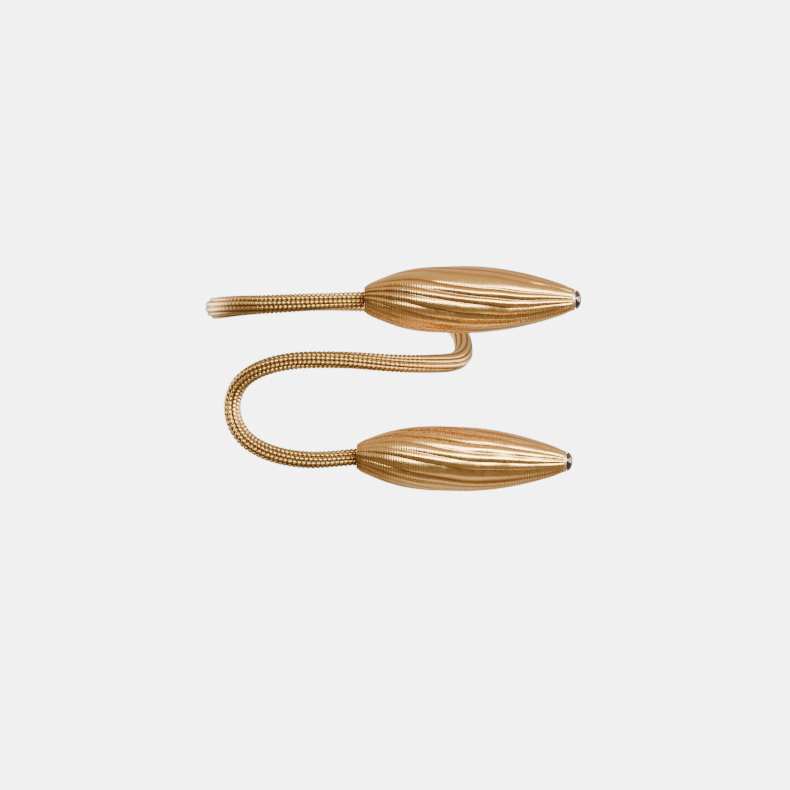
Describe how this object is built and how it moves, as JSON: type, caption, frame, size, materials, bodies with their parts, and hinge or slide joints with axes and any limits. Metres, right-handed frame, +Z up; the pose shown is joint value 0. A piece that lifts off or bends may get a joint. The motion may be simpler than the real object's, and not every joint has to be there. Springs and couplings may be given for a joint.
{
  "type": "curtain holdback",
  "caption": "Bendable curtain holdback: a beaded gold arm wound round the gathered curtain, with a fluted gold spindle and a dark domed cap on each free end.",
  "frame": {"origin": "on the middle line of the gathered curtain that the arm is wound round, halfway up the holdback", "axes": "+X points the way both spindles do, to the right as the holdback is looked at. +Z is up along the curtain. -Y is towards the person who looks at it."},
  "size_m": [0.166, 0.0843, 0.099],
  "materials": {
    "gold_sleeve": "bright gold metallic thread in beaded ridges, drawn over a bendable wire",
    "gold_cover": "satin gold metallic cloth with fine crosswise threads, gathered in flutes over a turned core",
    "dark_cap": "polished, near black with a brown cast"
  },
  "bodies": {
    "root": {"arm": "gold_sleeve", "spindle_upper": "gold_cover", "spindle_lower": "gold_cover", "tip_cap_upper": "dark_cap", "tip_cap_lower": "dark_cap"}
  },
  "joints": []
}
